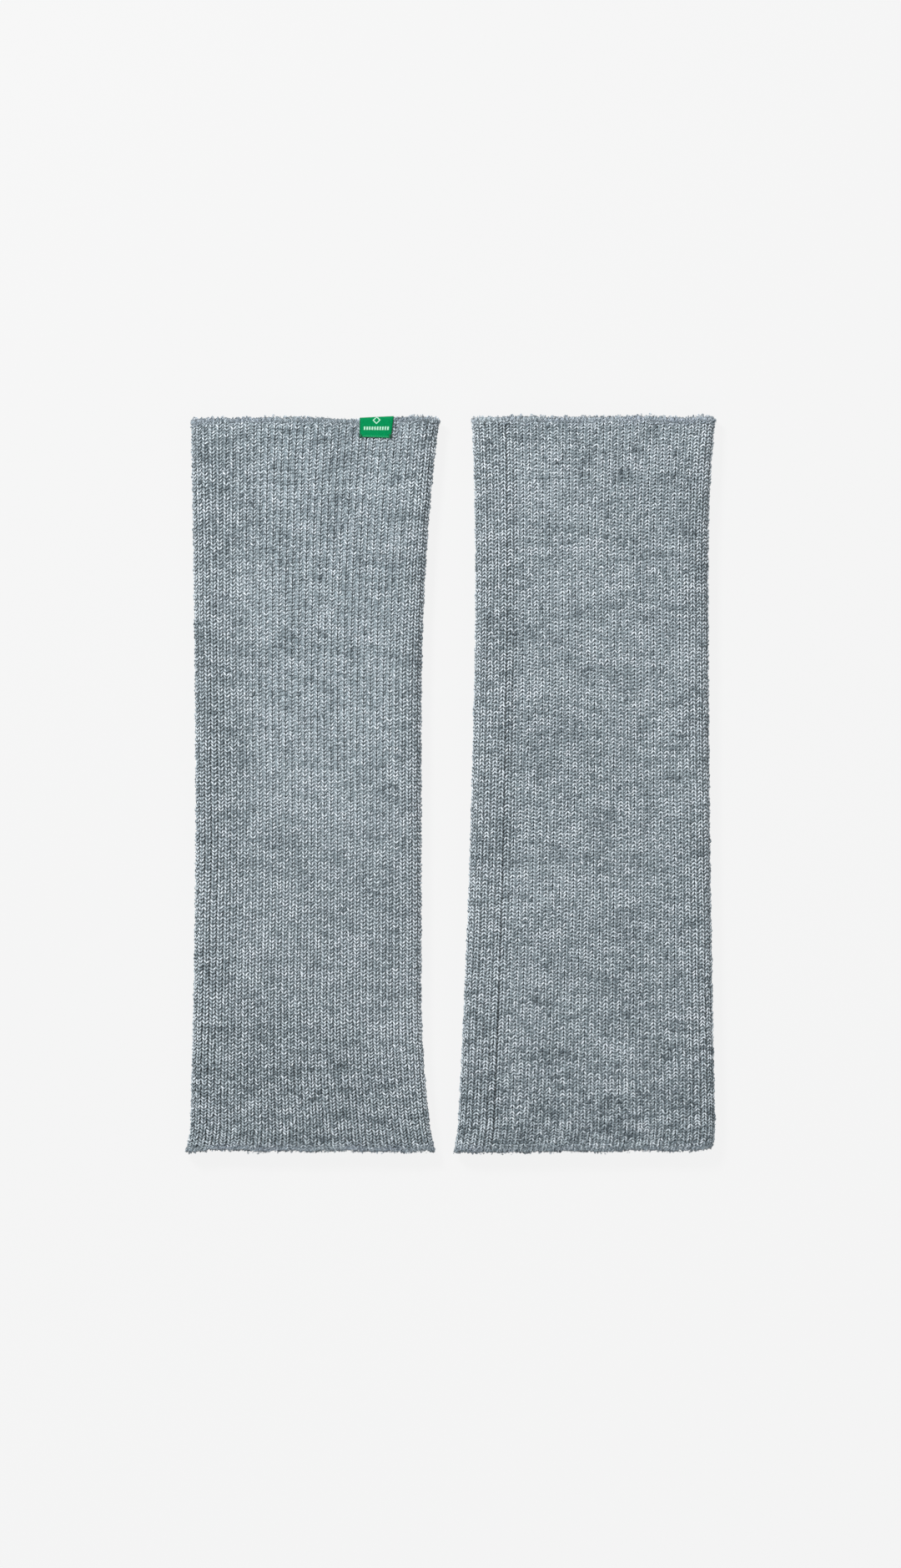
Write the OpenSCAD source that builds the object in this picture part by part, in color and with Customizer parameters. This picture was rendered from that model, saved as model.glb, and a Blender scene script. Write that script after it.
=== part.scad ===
// A pair of fingerless gloves: two rib-knit tubes lying flat, side by side on z = 0.
// Each tube is one knitted panel closed by a seam, with both cut ends overlocked.
// X runs across the pair and Y along it. The right glove lies end for end.

/* [Pair] */
// Length of each glove, from its lower end to the right glove's upper end
glove_len = 336; // [260:1:420]
// Thickness of a glove lying flat
lay_h = 10.2; // [9.4:0.1:14]
// Thickness of the rib knit
wall = 2.4; // [1.8:0.1:2.6]
// How far the left glove's upper end stops short of the right glove's
left_short = 0.6; // [0.6:0.1:4]

/* [Left glove folds] */
// Place of the left fold at the waist
left_a_x = -116.2; // [-130:0.1:-110]
// Flares of the left fold: at the upper end, at the lower end, at the lower corner
left_a_flares = [2.2, 2.9, 1.9]; // [0:0.1:10]
// Shares of the length over which the left fold flares: from above, from below
left_a_reaches = [0.65, 0.52]; // [0.1:0.01:1]
// Place of the right fold at the waist
left_b_x = -12.9; // [-20:0.1:-12]
// Flares of the right fold: at the upper end, at the lower end, at the lower corner
left_b_flares = [8.3, 5.6, 0.6]; // [0:0.1:9]
// Shares of the length over which the right fold flares: from above, from below
left_b_reaches = [0.4, 0.22]; // [0.1:0.01:1]

/* [Right glove folds] */
// Place of the left fold at the waist
right_a_x = 11.6; // [11:0.1:20]
// Flares of the left fold: at the upper end, at the lower end, at the lower corner
right_a_flares = [2.3, 9.3, 1.2]; // [0:0.1:10]
// Shares of the length over which the left fold flares: from above, from below
right_a_reaches = [0.31, 0.98]; // [0.1:0.01:1]
// Place of the right fold at the waist
right_b_x = 117.6; // [110:0.1:130]
// Flares of the right fold: at the upper end, at the lower end, at the lower corner
right_b_flares = [3.3, 3.5, -1.6]; // [-2:0.1:10]
// Shares of the length over which the right fold flares: from above, from below
right_b_reaches = [0.2, 0.84]; // [0.1:0.01:1]

/* [Overlocked ends] */
// Width of the band of thread at each end
band_w = 3.6; // [3:0.1:6]
// Thickness of the thread that wraps a cut edge
thread_t = 0.6; // [0.4:0.1:0.7]
// Width of the line of needle stitches
needle_w = 0.8; // [0.5:0.1:1.2]

/* [Side seam] */
// From the left fold to the seam, on the underside
seam_in = 11; // [7:0.5:40]
// Width of the ridge that the two turned-in panel edges make inside
seam_w = 5; // [4:0.5:8]
// Height of the ridge
seam_h = 1.8; // [1:0.1:2.2]

/* [Label] */
// Width of the woven label
label_w = 14.8; // [10:0.1:25]
// How far the label comes down each face
label_drop = 9.4; // [6:0.1:20]
// Thickness of the woven label
label_t = 0.4; // [0.3:0.05:0.6]
// Place of the label's middle
label_x = -33.8; // [-90:0.1:-30]

/* [Hidden] */
half_len = glove_len / 2;
corner_reach = 0.04;   // share of the length over which a lower corner curls
arc_steps = 8;         // steps round each fold
span_steps = 20;       // steps along a glove, closer together near its ends
seam_slant = 0.3;      // how far each side of the ridge leans in
seam_line = 1.4;       // from the ridge's foot to the far edge of its needle stitches
seam_stop = 1;         // between each end of the ridge and the overlocked band
rim_gap = 0.1;         // between the rim and the label that goes over it
label_bend = 0.7;      // radius of the label's two bends
tack_size = [0.5, 1.6, 0.3];
yarn = "lightslategray";
thread = "slategray";
green = "seagreen";

// A glove is [left fold, right fold, upper end's y, lower end's y],
// and a fold is [place, outward sign, flares, reaches].
left = [[left_a_x, -1, left_a_flares, left_a_reaches],
    [left_b_x, 1, left_b_flares, left_b_reaches], half_len - left_short, -half_len];
right = [[right_a_x, -1, right_a_flares, right_a_reaches],
    [right_b_x, 1, right_b_flares, right_b_reaches], half_len, -half_len];

function fade(share, reach) = pow(max(0, 1 - share / reach), 2);

// The x of a fold at a place y along the glove.
function fold_x(fold, y) =
    let (down = (half_len - y) / glove_len, up = 1 - down)
    fold[0] + fold[1] * (fold[2][0] * fade(down, fold[3][0]) + fold[2][1] * fade(up, fold[3][1])
        + fold[2][2] * fade(up, corner_reach));

// Places along Y from a to b, closer together near both.
function spaced(a, b) =
    [for (i = [0:span_steps]) (a + b) / 2 - (b - a) / 2 * cos(180 * i / span_steps)];

// The seam's ridge, across: [distance from its foot, share of its height].
ridge = [[0, 0], [seam_slant, 1], [seam_w - seam_slant, 1], [seam_w, 0]];

// The x of a point beside the seam at y.
function seam_x(glove, y, across) = fold_x(glove[0], y) + seam_in + across;

// The closed ring round a flat tube at y, sunk depth below the outer face, with a ridge of height rise.
function ring(glove, y, depth, rise) =
    let (r = lay_h / 2 - depth,
        low = fold_x(glove[0], y) + lay_h / 2,
        high = fold_x(glove[1], y) - lay_h / 2)
    concat(
        [for (side = [0, 1]) for (i = [0:arc_steps])
            let (a = side * 180 - 90 + 180 * i / arc_steps, middle = side == 0 ? high : low)
            [middle + r * cos(a), y, lay_h / 2 + r * sin(a)]],
        [for (p = ridge) [seam_x(glove, y, p[0]), y, depth + p[1] * rise]]);

function area2(p) =
    let (n = len(p)) [for (i = [0:n - 1]) let (q = p[(i + 1) % n]) p[i][0] * q[1] - q[0] * p[i][1]];
function total(v, i = 0) = i < len(v) ? v[i] + total(v, i + 1) : 0;

// Faces between rings, each joined to the next; closed joins the last ring to the first.
function skin(rings, sides, closed, flip) =
    [for (k = [0:rings - (closed ? 1 : 2)]) for (i = [0:sides - 1])
        let (a = k * sides, b = (k + 1) % rings * sides, j = (i + 1) % sides,
            quad = [a + i, a + j, b + j, b + i])
        flip ? [quad[3], quad[2], quad[1], quad[0]] : quad];

// A closed profile of [y, depth] points carried all the way round a glove.
// A third value is the height of the seam's ridge there, 0 if it is left out.
module wrap(glove, profile) {
    sides = 2 * (arc_steps + 1) + len(ridge);
    polyhedron(
        points = [for (p = profile) each ring(glove, p[0], p[1], len(p) > 2 ? p[2] : 0)],
        faces = skin(len(profile), sides, true, total(area2(profile)) < 0),
        convexity = 10);
}

// The places along a glove where its seam's ridge stands.
function seam_places(glove) = spaced(glove[3] + band_w + seam_stop, glove[2] - band_w - seam_stop);

// A closed profile of [across from the ridge's foot, z] points carried along a glove's seam.
module follow(glove, profile) {
    places = seam_places(glove);
    sides = len(profile);
    rings = len(places);
    polyhedron(
        points = [for (y = places) for (p = profile) [seam_x(glove, y, p[0]), y, p[1]]],
        faces = concat(skin(rings, sides, false, false),
            [[for (i = [0:sides - 1]) sides - 1 - i]],
            [[for (i = [0:sides - 1]) (rings - 1) * sides + i]]),
        convexity = 6);
}

// The knitted tube, thinned where the ends are overlocked, with its edges turned in at the seam.
module rib_tube(glove) {
    top = glove[2];
    low = glove[3];
    places = seam_places(glove);
    outer = [for (y = spaced(low + band_w, top - band_w)) [y, 0]];
    inner = [for (i = [0:span_steps]) [places[span_steps - i], wall, seam_h]];
    color(yarn) wrap(glove, concat(
        [[low + thread_t, thread_t], [low + band_w, thread_t]], outer,
        [[top - band_w, thread_t], [top - thread_t, thread_t], [top - thread_t, wall - thread_t],
            [top - band_w, wall - thread_t], [top - band_w, wall]], inner,
        [[low + band_w, wall], [low + band_w, wall - thread_t], [low + thread_t, wall - thread_t]]));
}

// The three threads at an overlocked end: end is its y, and way is 1 if the glove lies below it.
module end_needle_thread(glove, end, way) {
    near = end - way * (band_w - needle_w);
    far = end - way * band_w;
    color(thread) wrap(glove, [[near, 0], [far, 0], [far, thread_t], [near, thread_t]]);
}
module end_outer_looper(glove, end, way) {
    near = end - way * thread_t;
    far = end - way * (band_w - needle_w);
    color(thread) wrap(glove, [[end, 0], [far, 0], [far, thread_t], [near, thread_t],
        [near, wall / 2], [end, wall / 2]]);
}
module end_inner_looper(glove, end, way) {
    near = end - way * thread_t;
    far = end - way * band_w;
    color(thread) wrap(glove, [[end, wall / 2], [near, wall / 2], [near, wall - thread_t],
        [far, wall - thread_t], [far, wall], [end, wall]]);
}

// The three threads on the ridge of the side seam. The loopers meet halfway up its far side.
module seam_needle_thread(glove) {
    z = wall + seam_h;
    near = seam_line - needle_w;
    color(thread) follow(glove, [[near, z], [seam_line, z], [seam_line, z + thread_t],
        [near, z + thread_t]]);
}
module seam_upper_looper(glove) {
    z = wall + seam_h;
    half_w = seam_w - seam_slant / 2;
    color(thread) follow(glove, [[seam_line, z], [seam_w - seam_slant, z], [half_w, z - seam_h / 2],
        [half_w + thread_t, z - seam_h / 2], [seam_w - seam_slant + thread_t, z + thread_t],
        [seam_line, z + thread_t]]);
}
module seam_lower_looper(glove) {
    half_w = seam_w - seam_slant / 2;
    color(thread) follow(glove, [[seam_w, wall], [seam_w + thread_t, wall],
        [half_w + thread_t, wall + seam_h / 2], [half_w, wall + seam_h / 2]]);
}

// The label: a strip folded over the left glove's upper rim, seen from its end as a U.
function bend(y, z, from) =
    [for (a = [from:-15:from - 90]) [y + label_bend * cos(a), z + label_bend * sin(a)]];
module woven_label() {
    foot = left[2] - label_drop;
    in_y = left[2] + rim_gap;
    bend_y = in_y + label_t - label_bend;
    top_z = lay_h + label_t;
    low_z = lay_h - wall - label_t;
    color(green) translate([label_x - label_w / 2, 0, 0]) rotate([90, 0, 90])
        linear_extrude(label_w) polygon(concat(
            [[foot, lay_h], [foot, top_z]],
            bend(bend_y, top_z - label_bend, 90), bend(bend_y, low_z + label_bend, 0),
            [[foot, low_z], [foot, lay_h - wall], [in_y, lay_h - wall], [in_y, lay_h]]));
}

// Short stitches that hold the label's two lower corners, over its outer face and under its inner one.
module label_tack_stitches() {
    color("darkgreen")
        for (side = [-1, 1]) for (z = [lay_h + label_t, lay_h - wall - label_t - tack_size[2]])
            translate([label_x + side * (label_w / 2 - tack_size[0]) - tack_size[0] / 2,
                left[2] - label_drop + 0.2, z]) cube(tack_size);
}

rib_tube(left);  // left_rib_tube
end_needle_thread(left, left[2], 1);  // left_hand_end_needle_thread
end_outer_looper(left, left[2], 1);  // left_hand_end_outer_looper_thread
end_inner_looper(left, left[2], 1);  // left_hand_end_inner_looper_thread
end_needle_thread(left, left[3], -1);  // left_arm_end_needle_thread
end_outer_looper(left, left[3], -1);  // left_arm_end_outer_looper_thread
end_inner_looper(left, left[3], -1);  // left_arm_end_inner_looper_thread
seam_needle_thread(left);  // left_seam_needle_thread
seam_upper_looper(left);  // left_seam_upper_looper_thread
seam_lower_looper(left);  // left_seam_lower_looper_thread
rib_tube(right);  // right_rib_tube
end_needle_thread(right, right[3], -1);  // right_hand_end_needle_thread
end_outer_looper(right, right[3], -1);  // right_hand_end_outer_looper_thread
end_inner_looper(right, right[3], -1);  // right_hand_end_inner_looper_thread
end_needle_thread(right, right[2], 1);  // right_arm_end_needle_thread
end_outer_looper(right, right[2], 1);  // right_arm_end_outer_looper_thread
end_inner_looper(right, right[2], 1);  // right_arm_end_inner_looper_thread
seam_needle_thread(right);  // right_seam_needle_thread
seam_upper_looper(right);  // right_seam_upper_looper_thread
seam_lower_looper(right);  // right_seam_lower_looper_thread
woven_label();
label_tack_stitches();
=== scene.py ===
"""A pair of rib-knit fingerless gloves lying flat: real stitches, overlocked ends and a woven label.

Lengths are in millimetres until a mesh is made, then in metres. A place on a glove is (s, y, sunk):
s runs round the tube from the middle of its upper face, y runs along it, and sunk goes inwards.
"""
import math
import bpy
import numpy as np
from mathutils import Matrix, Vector


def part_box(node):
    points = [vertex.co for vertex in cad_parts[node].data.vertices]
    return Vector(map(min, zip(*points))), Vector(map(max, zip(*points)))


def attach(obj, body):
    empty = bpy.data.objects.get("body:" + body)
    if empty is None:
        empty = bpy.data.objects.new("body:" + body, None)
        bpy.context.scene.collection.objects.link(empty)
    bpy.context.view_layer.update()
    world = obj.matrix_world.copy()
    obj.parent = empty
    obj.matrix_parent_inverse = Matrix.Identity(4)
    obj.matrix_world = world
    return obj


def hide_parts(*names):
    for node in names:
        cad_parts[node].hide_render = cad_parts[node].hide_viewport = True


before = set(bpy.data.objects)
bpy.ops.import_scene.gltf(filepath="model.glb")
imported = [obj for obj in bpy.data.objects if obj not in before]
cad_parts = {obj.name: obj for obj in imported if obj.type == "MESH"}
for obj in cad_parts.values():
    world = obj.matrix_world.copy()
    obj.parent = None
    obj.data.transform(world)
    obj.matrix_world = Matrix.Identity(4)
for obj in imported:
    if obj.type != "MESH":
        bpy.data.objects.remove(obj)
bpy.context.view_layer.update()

MM = 0.001
TURN = 2 * math.pi
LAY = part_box("left_rib_tube")[1].z / MM        # height of a glove lying flat
HALF = LAY / 2
WALL = 2.4                                     # thickness of the knit
DROOP = 1.5                                    # how far the upper face falls at the ends
BAND = 3.6                                     # width of an overlocked band
EDGE = 0.6                                     # from a glove's end to the cut edge inside the threads
FACE_TRIS = 190000                             # most triangles in one piece
YARN_PITCH = 3.05                              # the rib pitch that the yarn segments are drawn for
FIBRES, FIBRES_AT_END = 7500, 900              # stray fibres on a glove, and how many lie along each end
LOOP_EVERY = 0.7                               # from one loop of yarn to the next along a cut edge
SEAM_STITCH = 2.4                              # length of a stitch of the seam
GAUGE = {"left": (74, 206, 1), "right": (76, 210, -1)}   # ribs round, courses, way the V points
HAND_END = {"left": 1, "right": -1}            # which end, up or down, is the hand end
TONE = {                                       # how the yarn's tone drifts along each glove: (y, tone)
    "left": [(-168, -1.3), (-150, -0.8), (-115, 0.2), (60, -0.1), (100, -0.25), (150, -0.9),
             (168, -1.1)],
    "right": [(-168, -1.5), (-150, -1.0), (-110, -0.35), (-40, -0.1), (60, 0.0), (150, -0.1),
              (168, -0.9)],
}
MOTTLED = {"left": 1.0, "right": 1.1}          # how strongly each glove's yarn is mottled
SEAM_IN = 11.0                                 # from the left fold to the seam's foot
RIDGE_IN = 4.6                                 # from the seam's foot to the top of its ridge
RIMS = {                                       # (share across, rise in mm) along each end
    ("left", 1): [(0, -2.4), (0.04, -1.8), (0.1, -1.4), (0.3, -1.1), (0.5, -1.1), (0.62, -2.0),
                  (0.67, -2.1), (0.71, -2.7), (0.79, -2.5), (0.83, -0.9), (0.9, -0.6), (0.96, -0.9),
                  (1, -2.4)],
    ("left", -1): [(0, 1.0), (0.05, 0.9), (0.11, 1.9), (0.2, 1.7), (0.3, 1.0), (0.42, 1.5), (0.5, 1.0),
                   (0.62, 1.7), (0.72, 1.1), (0.9, 0.8), (0.96, 1.5), (1, 1.1)],
    ("right", 1): [(0, -2.2), (0.04, -1.6), (0.2, -1.1), (0.35, -1.6), (0.6, -1.1), (0.72, -1.0),
                   (0.85, -1.8), (0.97, -1.2), (1, -2.1)],
    ("right", -1): [(0, 0.8), (0.1, 0.6), (0.3, 0.9), (0.45, 1.3), (0.55, 0.9), (0.72, 1.7), (0.85, 1.2),
                    (0.95, 1.6), (1, 3.0)],
}
rng = np.random.default_rng(11)


# ---------------------------------------------------------------- the shape of a glove

def fold_lines(side):
    """y, left fold's x and right fold's x, read off the CAD rings that reach the ground."""
    found = []
    for name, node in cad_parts.items():
        if name.startswith(side):
            flat = np.empty(len(node.data.vertices) * 3)
            node.data.vertices.foreach_get("co", flat)
            found.append(flat.reshape(-1, 3) / MM)
    found = np.concatenate(found)
    keys = found[:, 1].round(2)
    rows = []
    for y in np.unique(keys):
        ring = found[keys == y]
        if ring[:, 2].min() < 0.01:
            rows.append((y, ring[:, 0].min(), ring[:, 0].max()))
    return np.array(rows).T


def eased(x, pairs):
    """Smooth steps through (x, value) pairs."""
    xs = np.array([p[0] for p in pairs], float)
    vs = np.array([p[1] for p in pairs], float)
    x = np.clip(x, xs[0], xs[-1])
    i = np.clip(np.searchsorted(xs, x, side="right") - 1, 0, len(xs) - 2)
    t = (x - xs[i]) / (xs[i + 1] - xs[i])
    return vs[i] + (vs[i + 1] - vs[i]) * t * t * (3 - 2 * t)


def smooth_field(shape, blur, again):
    """Seeded noise of that shape, blurred over so many cells each way, mean 0 and spread 1."""
    field = again.standard_normal(shape)
    for axis, width in enumerate(blur):
        if width > 0:
            reach = int(3 * width) + 1
            kernel = np.exp(-0.5 * (np.arange(-reach, reach + 1) / width) ** 2)
            field = np.apply_along_axis(
                lambda row: np.convolve(np.pad(row, reach, mode="wrap"), kernel, "valid"), axis, field)
    return (field - field.mean()) / field.std()


def make_glove(side):
    """All that the other functions need to know about one glove."""
    ys, low, high = fold_lines(side)
    ribs, courses, way = GAUGE[side]
    streaks = smooth_field((courses, ribs), (0, 0.8), rng)
    patches = smooth_field((courses, ribs), (1.0, 1.2), rng)
    clouds = smooth_field((courses, ribs), (5, 3), rng)
    wander = smooth_field((courses, ribs), (7, 1.0), rng) + smooth_field((courses, ribs), (26, 6), rng)
    stray = smooth_field((courses, ribs), (9, 0), rng) + 0.4 * smooth_field((courses, ribs), (2.5, 0.6), rng)
    specks = smooth_field((courses, ribs), (0, 0), rng)
    tone = 0.45 * specks + 0.7 * streaks + 0.55 * patches + 0.12 * clouds
    return {"side": side, "y": ys, "low": low, "high": high, "ribs": ribs, "courses": courses,
            "way": way, "top": ys[-1], "bottom": ys[0], "tone": tone, "clouds": clouds,
            "wander": 0.09 * wander, "stray": 0.45 * stray}


def drift(glove, y):
    """The slow change of the yarn's tone along a glove."""
    return np.interp(y, *np.array(TONE[glove["side"]], float).T)


def painted_fold_light(glove, s, y):
    """Painted light on the yarn: rises from 0 to 1 towards each fold, except the left glove's left one."""
    way = half_round(glove, y)
    place = (s + way) % (2 * way) - way
    outer = np.where((place < 0) & (glove["side"] == "left"), 0.0, 1.0)
    return outer * np.clip(np.abs(place) / way * 5 - 1.7, 0, 1)


def half_round(glove, y):
    """Half of the way round the tube at y."""
    low = np.interp(y, glove["y"], glove["low"])
    high = np.interp(y, glove["y"], glove["high"])
    return (high - low) - LAY + math.pi * HALF


def rib_pitch(glove, y):
    return 2 * half_round(glove, y) / glove["ribs"]


def sag(x, y):
    """How far the upper face sinks, in mm: long soft waves, and more towards the ends."""
    waves = np.sin(x / 17 + y / 41) + np.sin(x / 29 - y / 23 + 2) + np.sin(y / 13 + x / 47 + 4)
    return 0.13 * (3 + waves) / 2 + DROOP * np.clip((np.abs(y) - 150) / 18, 0, 1.1) ** 2


def rough(along, pace=1.0):
    """Small uneven bumps along an edge, about 1 high at most."""
    return (np.sin(along * 2.9 * pace + 1.3) + np.sin(along * 4.7 * pace + np.sin(along))
            + np.sin(along * 1.3 * pace + 2) + np.sin(along * 0.57 * pace + 4)) / 3


def ridge(x, y, low):
    """How far the right glove's seam, inside, lifts its upper face."""
    return 0.35 * np.exp(-((x - low - SEAM_IN - RIDGE_IN) / 1.5) ** 2) * np.exp(-((y + 20) / 120) ** 4)


def crease(x, y):
    """How far a faint crease runs in from the right glove's right fold sinks its upper face."""
    return 0.4 * np.exp(-((y + 75) / 0.8) ** 2) * np.clip((x - 88) / 12, 0, 1)


def on_glove(glove, s, y, sunk):
    """Points in mm at (s, y, sunk)."""
    low = np.interp(y, glove["y"], glove["low"])
    high = np.interp(y, glove["y"], glove["high"])
    half_flat = (high - low) / 2 - HALF
    half_way = 2 * half_flat + math.pi * HALF
    s = (s + half_way) % (2 * half_way) - half_way
    hand = np.where(s < 0, -1.0, 1.0)
    t = np.abs(s)
    turn = np.clip((t - half_flat) / HALF, 0, math.pi)
    past = np.maximum(t - half_flat - math.pi * HALF, 0)
    x = (low + high) / 2 + hand * (np.minimum(t, half_flat) - past + (HALF - sunk) * np.sin(turn))
    z = HALF + (HALF - sunk) * np.cos(turn)
    z = z * (1 - sag(x, y) / LAY)
    share = (x - low) / (high - low)
    if glove["side"] == "right":
        z = z * (1 + (ridge(x, y, low) - crease(x, y)) / LAY)
        x = x - 0.5 * np.exp(-((y - 34) / 2.5) ** 2) * np.clip(1 - share * 20, 0, 1)
    x = x + 0.33 * hand * np.sin(turn) ** 4 * rough(y + 7 * hand, 0.8)
    for way, end in ((1, glove["top"]), (-1, glove["bottom"])):
        near = np.clip(1 - np.abs(end - y) / 26, 0, 1) ** 2
        y = y + near * eased(share, RIMS[glove["side"], way])
        y = y + 0.32 * np.clip(1 - np.abs(end - y) / 4, 0, 1) * rough(x + 11 * way)
    return np.stack(np.broadcast_arrays(x, y, z), axis=-1)


# ---------------------------------------------------------------- meshes

def piece(name, points, faces, material, body, loops_uv=None, values=None):
    """A smooth mesh piece from points in mm, faces of one size, a UV for each corner and named values."""
    corners = faces.shape[1]
    tri = points[faces[:, :3]]
    volume = np.einsum("ij,ij->i", tri[:, 0], np.cross(tri[:, 1], tri[:, 2])).sum()
    if volume < 0:
        faces = faces[:, ::-1]
        loops_uv = None if loops_uv is None else loops_uv.reshape(-1, corners, 2)[:, ::-1].reshape(-1, 2)
    mesh = bpy.data.meshes.new(name)
    mesh.vertices.add(len(points))
    mesh.vertices.foreach_set("co", (points * MM).astype(np.float32).ravel())
    mesh.loops.add(faces.size)
    mesh.loops.foreach_set("vertex_index", faces.astype(np.int32).ravel())
    mesh.polygons.add(len(faces))
    mesh.polygons.foreach_set("loop_start", np.arange(0, faces.size, corners, dtype=np.int32))
    mesh.polygons.foreach_set("use_smooth", np.ones(len(faces), bool))
    mesh.update(calc_edges=True)
    if loops_uv is not None:
        layer = mesh.uv_layers.new(name="yarn")
        layer.data.foreach_set("uv", loops_uv.astype(np.float32).ravel())
    for key, value in (values or {}).items():
        attribute = mesh.attributes.new(key, "FLOAT", "POINT")
        attribute.data.foreach_set("value", value.astype(np.float32).ravel())
    mesh.materials.append(material)
    obj = bpy.data.objects.new(name, mesh)
    bpy.context.scene.collection.objects.link(obj)
    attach(obj, body)
    return obj


def grain(sides, stops, path, radius, squash):
    """A closed yarn segment: points (across, along, sunk), triangles and corner UVs.

    path gives the three coordinates at shares 0 to 1, and radius the thickness there.
    """
    shares = np.concatenate([[0.0], stops, [1.0]])
    centre = np.stack(path(shares), axis=-1)
    ahead = np.stack(path(np.clip(shares + 0.02, 0, 1)), axis=-1)
    behind = np.stack(path(np.clip(shares - 0.02, 0, 1)), axis=-1)
    run = ahead - behind
    flat = np.hypot(run[:, 0], run[:, 1])[:, None] + 1e-9
    across = np.stack([run[:, 1], -run[:, 0], 0 * run[:, 0]], axis=-1) / flat
    run /= np.linalg.norm(run, axis=1)[:, None]
    outwards = np.cross(run, across)
    around = np.arange(sides) * TURN / sides
    points = [centre[:1]]
    for i in range(1, len(shares) - 1):
        thick = radius(shares[i])
        points.append(centre[i] + thick * (np.cos(around)[:, None] * across[i]
                                           + squash * np.sin(around)[:, None] * outwards[i]))
    points.append(centre[-1:])
    points = np.concatenate(points)
    faces, uvs = [], []
    last = 1 + len(stops) * sides
    for i in range(sides):
        j, u, w = (i + 1) % sides, i / sides, (i + 1) / sides
        faces.append((0, 1 + j, 1 + i))
        uvs += [(u, 0), (w, stops[0]), (u, stops[0])]
        for k in range(len(stops) - 1):
            a, b = 1 + k * sides, 1 + (k + 1) * sides
            faces += [(a + i, a + j, b + j), (a + i, b + j, b + i)]
            low, high = stops[k], stops[k + 1]
            uvs += [(u, low), (w, low), (w, high), (u, low), (w, high), (u, high)]
        faces.append((last, last - sides + i, last - sides + j))
        uvs += [(u, 1), (u, stops[-1]), (w, stops[-1])]
    return points, np.array(faces), np.array(uvs)


def scatter(glove, shape, s, y, sunk, turn, size, hand, way, wide=1.0):
    """Copies of a grain on a glove, each turned in the face, scaled, and mirrored by hand and way."""
    points, faces, uvs = shape
    count, each = len(s), len(points)
    across = points[None, :, 0] * (size * hand * wide)[:, None]
    along = points[None, :, 1] * size[:, None] * way
    c, d = np.cos(turn)[:, None], np.sin(turn)[:, None]
    rows = on_glove(glove, s[:, None] + across * c - along * d, y[:, None] + across * d + along * c,
                    sunk[:, None] + points[None, :, 2] * size[:, None])
    all_faces = faces[None] + (np.arange(count) * each)[:, None, None]
    mirrored = (hand < 0)
    all_faces[mirrored] = all_faces[mirrored][:, :, ::-1]
    all_uvs = np.repeat(uvs.reshape(1, -1, 3, 2), count, axis=0)
    all_uvs[mirrored] = all_uvs[mirrored][:, :, ::-1]
    return rows.reshape(-1, 3), all_faces.reshape(-1, 3), all_uvs.reshape(-1, 2)


# ---------------------------------------------------------------- the knitted stitches

def leg_path(t):
    """One leg of a stitch: from the foot of its V, up and over its crest, to its open end."""
    across = 0.12 + 1.0 * (t - 0.05 * np.sin(TURN * t))
    along = -0.93 + 1.8 * t
    sunk = 0.4 + 0.75 * np.abs(2 * t - 1) ** 2.2 + 0.12 * across ** 2
    return across, along, sunk


def leg_radius(t):
    return 0.34 * (1 - 0.28 * abs(2 * t - 1) ** 2.5)


def purl_path(t):
    """The back of a purl loop, lying across a groove between two ribs."""
    return -0.8 + 1.6 * t, 0.3 * np.sin(math.pi * t) + 0.7, 0.74 + 0.4 * np.abs(2 * t - 1) ** 2


PURL = grain(5, np.array([0.1, 0.5, 0.9]), purl_path, lambda t: 0.42 - 0.1 * abs(2 * t - 1), 0.8)
FINE_LEG = grain(6, np.array([0.06, 0.27, 0.5, 0.73, 0.94]), leg_path, leg_radius, 0.85)
PLAIN_LEG = grain(5, np.array([0.1, 0.5, 0.9]), leg_path, leg_radius, 0.85)


def courses_of(glove, rows):
    """The y of each of those courses, closer together near the foot of the glove."""
    low, high = glove["bottom"] + 1.0, glove["top"] - 1.0
    share = (rows + 0.5) / glove["courses"]
    return low + (share - 0.15 * share * (1 - share) ** 3) * (high - low)


def in_band(glove, y):
    """From 0 to 1, how far a place is under the overlocking."""
    from_end = np.minimum(glove["top"] - y, y - glove["bottom"])
    return np.clip((BAND - from_end) / 1.6, 0, 1)


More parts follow.
